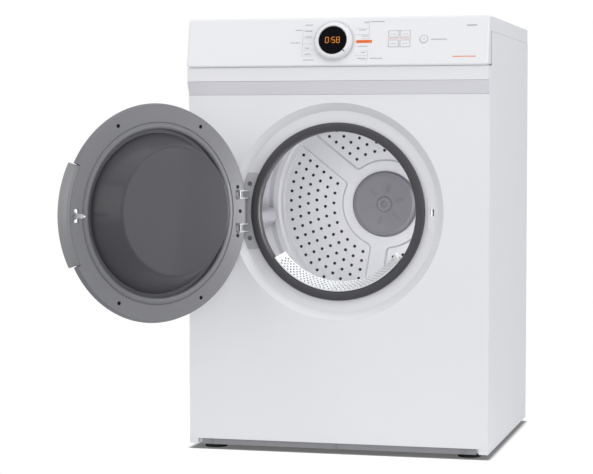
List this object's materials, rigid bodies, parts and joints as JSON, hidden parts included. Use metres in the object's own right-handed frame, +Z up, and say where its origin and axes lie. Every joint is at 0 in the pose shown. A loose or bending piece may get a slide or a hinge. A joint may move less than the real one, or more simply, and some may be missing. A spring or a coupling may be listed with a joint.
{
  "type": "clothes dryer",
  "caption": "Front-loading vented clothes dryer with an open round door, a perforated steel drum, a ring selector and sprung buttons.",
  "frame": {"origin": "on the floor, at the centre of the four levelling feet", "axes": "+Z up, -Y towards the front of the machine, +Y along the exhaust outlet, +X to the right seen from the front"},
  "size_m": [0.7457, 0.898, 0.845],
  "materials": {
    "white_steel": "gloss",
    "white_plastic": "gloss",
    "grey_band": "satin",
    "grey_trim": "satin",
    "galvanised": "satin",
    "screw_steel": "satin",
    "display_black": "gloss",
    "board_green": "matte",
    "seal_rubber": "satin",
    "collar_plastic": "satin",
    "hinge_grey": "satin",
    "dark_plastic": "matte",
    "bearing_bronze": "satin",
    "motor_metal": "satin",
    "belt_rubber": "matte",
    "knob_white": "satin",
    "door_grey": "satin",
    "dark_screw": "satin",
    "smoked_bowl": "gloss",
    "smoked_pane": "gloss",
    "grip_silver": "ribbed satin",
    "bright_metal": "polished",
    "drum_steel": "bright",
    "lifter_plastic": "satin",
    "hub_grey": "satin",
    "foot_plastic": "matte"
  },
  "bodies": {
    "cabinet": {"base_tray": "galvanised", "left_side_panel": "white_steel", "right_side_panel": "white_steel", "front_panel": "white_steel", "rear_panel": "galvanised", "top_cover": "white_steel", "plinth_strip": "grey_trim", "plinth_screws": "screw_steel", "control_panel": "white_plastic", "trim_strip": "white_plastic", "trim_band": "grey_band", "display_window": "display_black", "control_board": "board_green", "door_seal": "seal_rubber", "front_bulkhead": "collar_plastic", "lint_grille": "collar_plastic", "hinge_plate": "hinge_grey", "hinge_screws": "screw_steel", "latch_plate": "white_plastic", "latch_catch": "dark_plastic", "rear_bulkhead": "galvanised", "shaft_bearing": "bearing_bronze", "heater_box": "galvanised", "exhaust_duct": "dark_plastic", "fan_housing": "dark_plastic", "exhaust_outlet": "collar_plastic", "motor_body": "motor_metal", "drive_bracket": "galvanised", "drive_belt": "belt_rubber", "cord_gland": "dark_plastic"},
    "door": {"door_inner_ring": "door_grey", "door_screws": "dark_screw", "door_bowl": "smoked_bowl", "door_outer_ring": "white_plastic", "door_window": "smoked_pane", "door_handle": "grip_silver", "latch_hook": "bright_metal", "hinge_pins": "bright_metal"},
    "drum": {"drum_shell": "drum_steel", "drum_back": "drum_steel", "drum_lifter_1": "lifter_plastic", "drum_lifter_2": "lifter_plastic", "drum_lifter_3": "lifter_plastic", "hub_cap": "hub_grey", "drum_shaft": "bright_metal"},
    "motor_rotor": {"motor_shaft": "bright_metal", "motor_pulley": "motor_metal", "fan_wheel": "dark_plastic"},
    "idler_arm": {"idler_arm": "galvanised"},
    "idler_pulley": {"idler_pulley": "dark_plastic"},
    "selector_knob": {"selector_knob": "knob_white"},
    "start_button": {"start_button": "white_plastic"},
    "option_button_1": {"option_button_1": "white_plastic"},
    "foot_1": {"foot_1": "foot_plastic"},
    "option_button_2": {"option_button_2": "white_plastic"},
    "foot_2": {"foot_2": "foot_plastic"},
    "option_button_3": {"option_button_3": "white_plastic"},
    "foot_3": {"foot_3": "foot_plastic"},
    "option_button_4": {"option_button_4": "white_plastic"},
    "foot_4": {"foot_4": "foot_plastic"}
  },
  "joints": [
    {"name": "door_hinge", "type": "hinge", "parent": "cabinet", "child": "door", "pos_m": [-0.1917, -0.2713, 0.471], "axis": [0, 0, 1], "range_deg": [0, 126.8]},
    {"name": "drum_spin", "type": "hinge", "parent": "cabinet", "child": "drum", "pos_m": [0, 0, 0.471], "axis": [0, 1, 0], "continuous": true},
    {"name": "motor_spin", "type": "hinge", "parent": "cabinet", "child": "motor_rotor", "pos_m": [0.15, 0.1, 0.105], "axis": [0, 1, 0], "continuous": true},
    {"name": "idler_swing", "type": "hinge", "parent": "cabinet", "child": "idler_arm", "pos_m": [0.24, 0.012, 0.084], "axis": [0, 1, 0], "range_deg": [0, 12], "stiffness_Nm_per_rad": 0.6, "springref_deg": -28.65},
    {"name": "idler_spin", "type": "hinge", "parent": "idler_arm", "child": "idler_pulley", "pos_m": [0.20036, 0.005, 0.16047], "axis": [0, 1, 0], "continuous": true},
    {"name": "knob_turn", "type": "hinge", "parent": "cabinet", "child": "selector_knob", "pos_m": [-0.003, -0.272, 0.7985], "axis": [0, 0.9781, -0.2079], "continuous": true},
    {"name": "option_button_1_press", "type": "slide", "parent": "cabinet", "child": "option_button_1", "axis": [0, 0.9781, -0.2079], "range_m": [0, 0.0012], "stiffness_N_per_m": 400, "springref_m": -0.001},
    {"name": "option_button_2_press", "type": "slide", "parent": "cabinet", "child": "option_button_2", "axis": [0, 0.9781, -0.2079], "range_m": [0, 0.0012], "stiffness_N_per_m": 400, "springref_m": -0.001},
    {"name": "option_button_3_press", "type": "slide", "parent": "cabinet", "child": "option_button_3", "axis": [0, 0.9781, -0.2079], "range_m": [0, 0.0012], "stiffness_N_per_m": 400, "springref_m": -0.001},
    {"name": "option_button_4_press", "type": "slide", "parent": "cabinet", "child": "option_button_4", "axis": [0, 0.9781, -0.2079], "range_m": [0, 0.0012], "stiffness_N_per_m": 400, "springref_m": -0.001},
    {"name": "start_button_press", "type": "slide", "parent": "cabinet", "child": "start_button", "axis": [0, 0.9781, -0.2079], "range_m": [0, 0.0015], "stiffness_N_per_m": 400, "springref_m": -0.001},
    {"name": "foot_1_level", "type": "slide", "parent": "cabinet", "child": "foot_1", "axis": [0, 0, -1], "range_m": [0, 0.012]},
    {"name": "foot_2_level", "type": "slide", "parent": "cabinet", "child": "foot_2", "axis": [0, 0, -1], "range_m": [0, 0.012]},
    {"name": "foot_3_level", "type": "slide", "parent": "cabinet", "child": "foot_3", "axis": [0, 0, -1], "range_m": [0, 0.012]},
    {"name": "foot_4_level", "type": "slide", "parent": "cabinet", "child": "foot_4", "axis": [0, 0, -1], "range_m": [0, 0.012]}
  ],
  "couplings": [
    {"joint": "motor_spin", "follows": "drum_spin", "ratio": 27.377},
    {"joint": "idler_spin", "follows": "drum_spin", "ratio": -17.33}
  ]
}
